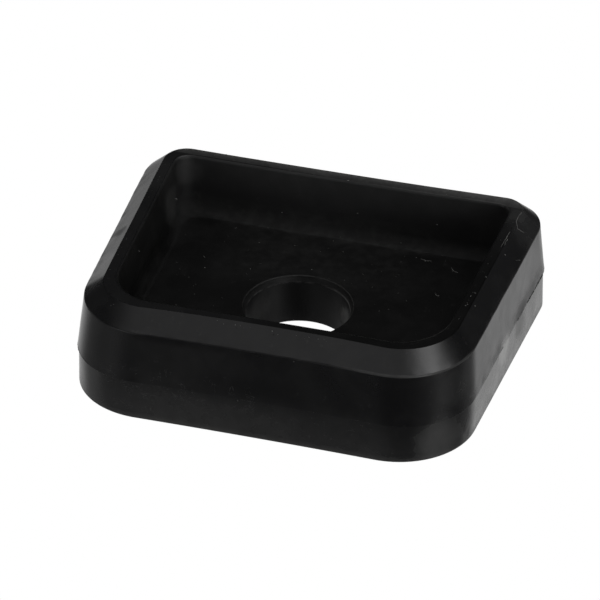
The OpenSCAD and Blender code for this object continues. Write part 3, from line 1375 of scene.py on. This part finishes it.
@dataclass
class Lint:
    """Fine fibres lying on the skin, each a thin tube along its path."""

    radius: float = 0.028
    step: float = 0.12
    waver: Point = (0.03, 0.03, 0.01)
    sides: int = 6
    seed: int = 3
    paths: tuple[tuple[Point, ...], ...] = (
        ((17.86, 9.1, 11.21), (17.84, 8.2, 11.22), (17.8, 7.3, 11.22), (17.76, 6.4, 11.21)),
        ((18.0, 7.9, 11.16), (17.95, 7.3, 11.19), (18.0, 6.8, 11.16)),
        ((17.97, 12.8, 11.17), (17.86, 12.0, 11.21), (17.92, 11.0, 11.2), (18.3, 10.3, 10.88),
         (18.87, 10.5, 10.4)),
        ((19.24, 6.17, 10.05), (19.58, 6.73, 9.75)),
        ((8.3, 10.9, 5.07), (8.9, 10.7, 5.09), (9.4, 10.8, 5.07)),
        ((11.6, 10.3, 5.07), (11.9, 9.8, 5.09), (12.4, 9.6, 5.07)),
        ((11.3, 5.6, 5.07), (11.6, 5.2, 5.09), (11.9, 5.3, 5.07)),
    )

    def build(self, finish: Finish) -> bpy.types.Object:
        """Grows the fibres.

        Args:
            finish: Their finish.

        Returns:
            The piece.
        """
        points: list[Point] = []
        edges: list[tuple[int, int]] = []
        for path in self.paths:
            start = len(points)
            points += path
            edges += [(start + i, start + i + 1) for i in range(len(path) - 1)]
        source = source_mesh("lint_paths", points, edges)
        grow = Growth("lint", finish)
        radius, step = grow.size("Fibre Radius", self.radius * MM), grow.size("Step", self.step * MM)
        seed = grow.size("Seed", self.seed)
        curve = grow.add("GeometryNodeMeshToCurve", i0=grow.entry.outputs["Geometry"])
        steps = grow.add("GeometryNodeResampleCurve", {"mode": "LENGTH"}, i0=curve, i3=step)
        most = tuple(v * MM for v in self.waver)
        waver = grow.add("FunctionNodeRandomValue", {"data_type": "FLOAT_VECTOR"},
                         i0=tuple(-v for v in most), i1=most, i8=seed)
        bent = grow.add("GeometryNodeSetPosition", i0=steps, i3=waver)
        ring = grow.add("GeometryNodeCurvePrimitiveCircle", Resolution=self.sides, Radius=radius)
        tube = grow.add("GeometryNodeCurveToMesh", i0=bent, i1=ring, Fill_Caps=True)
        return grow.finish(tube, source)


# --- Studio ---


def pointing(azimuth: float, elevation: float) -> Point:
    """Gives a direction away from the foot. Azimuth 0 is the front and 90 the right, in degrees."""
    a, e = math.radians(azimuth), math.radians(elevation)
    return (math.sin(a) * math.cos(e), -math.cos(a) * math.cos(e), math.sin(e))


@dataclass(frozen=True)
class SoftLight:
    """One soft light of the studio, or one bright part of the table, as the foot sees it."""

    azimuth: float
    elevation: float
    radiance: float
    tightness: float


@dataclass
class Studio:
    """Floor, lights and camera."""

    lights: tuple[SoftLight, ...] = (
        SoftLight(302.6, 73.3, 0.47, 16.7),
        SoftLight(45.6, 9.7, 4.8, 42),
        SoftLight(163, -34, 0.6, 40),
        SoftLight(163, -46, 0.38, 60),
        SoftLight(150, 12, 0.04, 12),
        SoftLight(125, -30, 0.15, 30),
        SoftLight(185, -19, 0.1, 30),
        SoftLight(214, -9.5, 0.46, 90),
        SoftLight(221.5, -12, 0.4, 200),
        SoftLight(290, -34, 0.14, 9),
        SoftLight(232, -32, 0.65, 20),
        SoftLight(197, -34, 1.0, 30),
        SoftLight(272.5, -42, 0.28, 36),
        SoftLight(101.5, 67.2, 3.05, 34),
        SoftLight(337.7, -47.7, 0.42, 44.5),
        SoftLight(70.5, -36.2, 0.74, 34),
        SoftLight(92, -3, 0.13, 16),
        SoftLight(135, -10, 0.25, 25),
        SoftLight(315, -8, 0.3, 20),
        SoftLight(268, 4, 0.3, 20),
        SoftLight(0, -90, 0.25, 7.4),
        SoftLight(325.6, 15.7, 0.75, 26.4),
        SoftLight(202.7, 33.7, 0.05, 22.3),
    )
    azimuth: float = 16.58
    elevation: float = 33.94
    frame_width: float = 58.123
    aim_right: float = -0.622
    aim_up: float = 0.087
    aim_height: float = 5.6
    distance: float = 400.0
    clip: tuple[float, float] = (0.01, 10.0)
    floor_half: float = 30.0
    floor_drop: float = 0.00002

    def camera(self) -> None:
        """Sets the camera. It draws parallel edges as parallel, as a very long lens does."""
        back = Vector(pointing(self.azimuth, self.elevation))
        right = Vector((math.cos(math.radians(self.azimuth)), math.sin(math.radians(self.azimuth)), 0))
        up = back.cross(right)
        aim = Vector((0, 0, self.aim_height)) + right * self.aim_right + up * self.aim_up
        data = bpy.data.cameras.new("camera")
        data.type = "ORTHO"
        data.ortho_scale = self.frame_width * MM
        data.clip_start, data.clip_end = self.clip
        cam = placed("camera", data)
        cam.location = (aim + back * self.distance) * MM
        cam.rotation_euler = (-back).to_track_quat("-Z", "Y").to_euler()
        bpy.context.scene.camera = cam

    def floor(self) -> None:
        """Lays the floor. Only the camera sees it."""
        half = self.floor_half
        corners = [(-half, -half, 0), (half, -half, 0), (half, half, 0), (-half, half, 0)]
        mesh = bpy.data.meshes.new("floor")
        mesh.from_pydata(corners, [], [(0, 1, 2, 3)])
        mesh.materials.append(LightTable().material())
        floor = placed("floor", mesh)
        floor.location.z = -self.floor_drop
        floor.visible_diffuse = floor.visible_glossy = floor.visible_shadow = False

    def world(self) -> None:
        """Surrounds the foot with soft lights and their bounce off the table. The camera sees plain white."""
        world = bpy.data.worlds.new("studio")
        world.use_nodes = True
        tree = world.node_tree
        way = add_node(tree, "ShaderNodeTexCoord").outputs["Generated"]
        total: bpy.types.NodeSocket | float = 0.0
        for light in self.lights:
            facing = add_node(tree, "ShaderNodeVectorMath", {"operation": "DOT_PRODUCT"}, i0=way,
                              i1=pointing(light.azimuth, light.elevation))
            falloff = add_node(tree, "ShaderNodeMath", {"operation": "MULTIPLY_ADD"},
                               i0=facing.outputs["Value"], i1=light.tightness, i2=-light.tightness)
            glow = add_node(tree, "ShaderNodeMath", {"operation": "EXPONENT"}, i0=falloff.outputs[0])
            total = add_node(tree, "ShaderNodeMath", {"operation": "MULTIPLY_ADD"},
                             i0=glow.outputs[0], i1=light.radiance, i2=total).outputs[0]
        from_camera = add_node(tree, "ShaderNodeLightPath").outputs["Is Camera Ray"]
        seen = add_node(tree, "ShaderNodeMix", {"data_type": "FLOAT"}, i0=from_camera, i2=total, i3=1.0)
        background = tree.nodes["Background"]
        background.inputs["Color"].default_value = (1, 1, 1, 1)
        tree.links.new(seen.outputs[0], background.inputs["Strength"])
        bpy.context.scene.world = world

    def build(self) -> None:
        """Sets up the whole studio."""
        self.camera()
        self.floor()
        self.world()
        LOG.info("studio: %d soft lights", len(self.lights))


def main() -> None:
    """Builds the foot and its studio in order."""
    logging.basicConfig(level=logging.INFO, format="%(name)s: %(message)s")
    scene = bpy.context.scene
    scene.view_settings.view_transform = "Standard"
    scene.view_settings.look = "None"
    foot = RubberBody()
    body = foot.build(MouldedRubber())
    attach(body, BODY)
    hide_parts("foot")
    flash = PartingFlash().build(foot.parting_line(), TornFlash())
    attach(flash, BODY)
    grains, lint = DustGrains().build(PaleDust()), Lint().build(PaleDust())
    for piece in (grains, lint):
        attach(piece, BODY)
    for piece in (body, flash, grains, lint):
        LOG.info("%s: %d faces", piece.name, len(piece.data.polygons))
    Studio().build()


if __name__ == "__main__":
    main()
